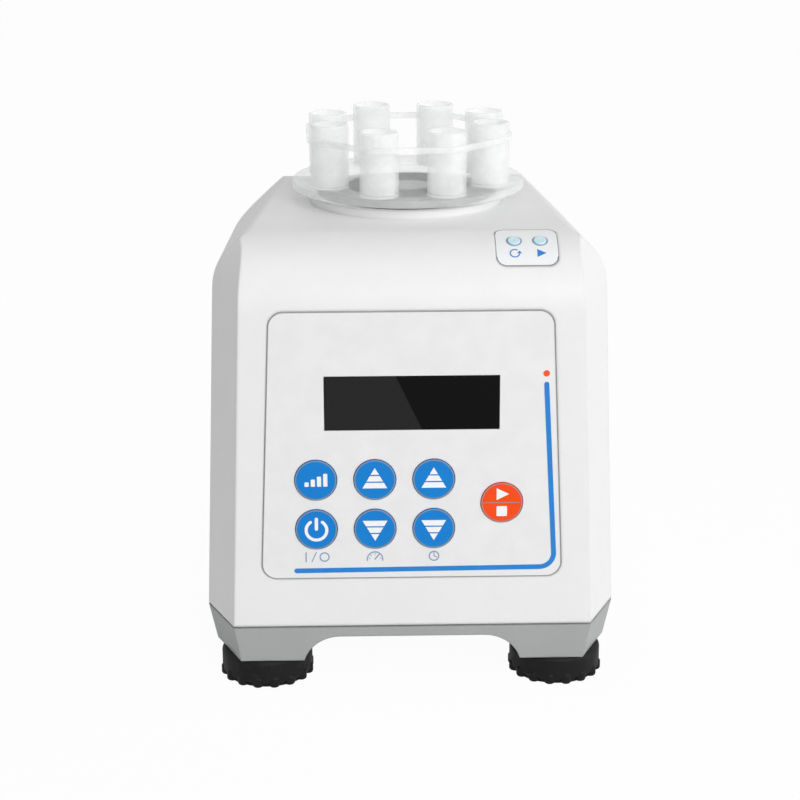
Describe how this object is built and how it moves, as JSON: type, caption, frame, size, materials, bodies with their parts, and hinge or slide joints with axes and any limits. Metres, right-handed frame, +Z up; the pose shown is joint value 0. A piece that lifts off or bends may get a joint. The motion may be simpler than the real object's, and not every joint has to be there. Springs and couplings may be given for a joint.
{
  "type": "vortex cell disruptor",
  "caption": "Bench vortex cell disruptor: a sprung motor carriage orbits a round rack of tube holders, in a plastic case with a keypad, a display and rubber feet.",
  "frame": {"origin": "on the bench, under the middle of the case, which is also the motor shaft's axis", "axes": "+Z up, -Y the front with the keypad, +X to the right as seen from the front"},
  "size_m": [0.1364, 0.146, 0.1779],
  "materials": {
    "housing_white": "satin moulded",
    "tray_grey": "satin moulded",
    "foot_rubber": "moulded",
    "panel_white": "satin film",
    "window_black": "gloss",
    "display_dark": "matt",
    "key_blue": "satin",
    "key_orange": "satin",
    "lamp_window_white": "satin film",
    "lamp_lens": "gloss",
    "board_green": "solder mask",
    "switch_black": "matt",
    "seal_rubber": "matt",
    "screw_steel": "zinc plated",
    "motor_black": "satin",
    "cast_alloy": "machined",
    "stator_steel": "laminated",
    "bearing_steel": "ground",
    "shaft_steel": "ground",
    "counterweight_brass": "machined",
    "head_black": "moulded",
    "rack_clear": "translucent moulded",
    "inlet_black": "moulded",
    "pin_metal": "nickel plated"
  },
  "bodies": {
    "case": {"upper_housing": "housing_white", "base_tray": "tray_grey", "foot_front_left": "foot_rubber", "foot_front_right": "foot_rubber", "foot_rear_left": "foot_rubber", "foot_rear_right": "foot_rubber", "foot_screws": "screw_steel", "case_screws": "screw_steel", "neck_seal": "seal_rubber", "front_panel": "panel_white", "display_window": "window_black", "display_module": "display_dark", "control_board": "board_green", "board_screws": "screw_steel", "key_switches": "switch_black", "lamp_window": "lamp_window_white", "lamp_left": "lamp_lens", "lamp_right": "lamp_lens", "lamp_board": "board_green", "guide_posts": "shaft_steel", "post_screws": "screw_steel", "stop_washers": "shaft_steel", "rubber_mounts": "seal_rubber", "touch_sensor": "switch_black", "power_board": "board_green", "power_inlet": "inlet_black", "inlet_pins": "pin_metal", "inlet_screws": "screw_steel"},
    "carriage": {"motor_plate": "cast_alloy", "motor_can": "motor_black", "motor_end_cap": "cast_alloy", "motor_screws": "screw_steel", "lower_bearing": "bearing_steel", "upper_bearing": "bearing_steel", "stator": "stator_steel", "sensor_flag": "shaft_steel"},
    "spindle": {"drive_shaft": "shaft_steel", "rotor": "stator_steel", "counterweight": "counterweight_brass"},
    "head": {"drive_head": "head_black", "head_bearing": "bearing_steel"},
    "rack": {"rack_plate": "rack_clear", "rack_spigot": "rack_clear", "rack_hoop": "rack_clear", "tube_holder_1": "rack_clear", "tube_holder_2": "rack_clear", "tube_holder_3": "rack_clear", "tube_holder_4": "rack_clear", "tube_holder_5": "rack_clear", "tube_holder_6": "rack_clear", "tube_holder_7": "rack_clear", "tube_holder_8": "rack_clear"},
    "mode_key": {"mode_key": "key_blue"},
    "power_key": {"power_key": "key_blue"},
    "speed_up_key": {"speed_up_key": "key_blue"},
    "speed_down_key": {"speed_down_key": "key_blue"},
    "time_up_key": {"time_up_key": "key_blue"},
    "time_down_key": {"time_down_key": "key_blue"},
    "start_stop_key": {"start_stop_key": "key_orange"}
  },
  "joints": [
    {"name": "head_press", "type": "slide", "parent": "case", "child": "carriage", "axis": [0, 0, -1], "range_m": [0, 0.0015], "stiffness_N_per_m": 2000, "springref_m": -0.008, "deforming": ["rubber_mounts"]},
    {"name": "shaft_spin", "type": "hinge", "parent": "carriage", "child": "spindle", "pos_m": [0, 0, 0.1], "axis": [0, 0, 1], "continuous": true},
    {"name": "head_orbit", "type": "hinge", "parent": "spindle", "child": "head", "pos_m": [0.00085, 0.00181, 0.13], "axis": [0, 0, 1], "continuous": true},
    {"name": "rack_lift", "type": "slide", "parent": "head", "child": "rack", "axis": [0, 0, 1], "range_m": [0, 0.03]},
    {"name": "mode_key_press", "type": "slide", "parent": "case", "child": "mode_key", "axis": [0, 0.9998, -0.02], "range_m": [0, 0.00035], "stiffness_N_per_m": 300, "springref_m": -0.001},
    {"name": "power_key_press", "type": "slide", "parent": "case", "child": "power_key", "axis": [0, 0.9998, -0.02], "range_m": [0, 0.00035], "stiffness_N_per_m": 300, "springref_m": -0.001},
    {"name": "speed_up_key_press", "type": "slide", "parent": "case", "child": "speed_up_key", "axis": [0, 0.9998, -0.02], "range_m": [0, 0.00035], "stiffness_N_per_m": 300, "springref_m": -0.001},
    {"name": "speed_down_key_press", "type": "slide", "parent": "case", "child": "speed_down_key", "axis": [0, 0.9998, -0.02], "range_m": [0, 0.00035], "stiffness_N_per_m": 300, "springref_m": -0.001},
    {"name": "time_up_key_press", "type": "slide", "parent": "case", "child": "time_up_key", "axis": [0, 0.9998, -0.02], "range_m": [0, 0.00035], "stiffness_N_per_m": 300, "springref_m": -0.001},
    {"name": "time_down_key_press", "type": "slide", "parent": "case", "child": "time_down_key", "axis": [0, 0.9998, -0.02], "range_m": [0, 0.00035], "stiffness_N_per_m": 300, "springref_m": -0.001},
    {"name": "start_stop_key_press", "type": "slide", "parent": "case", "child": "start_stop_key", "axis": [0, 0.9998, -0.02], "range_m": [0, 0.00035], "stiffness_N_per_m": 300, "springref_m": -0.001}
  ],
  "couplings": [
    {"joint": "head_orbit", "follows": "shaft_spin", "ratio": -1}
  ]
}
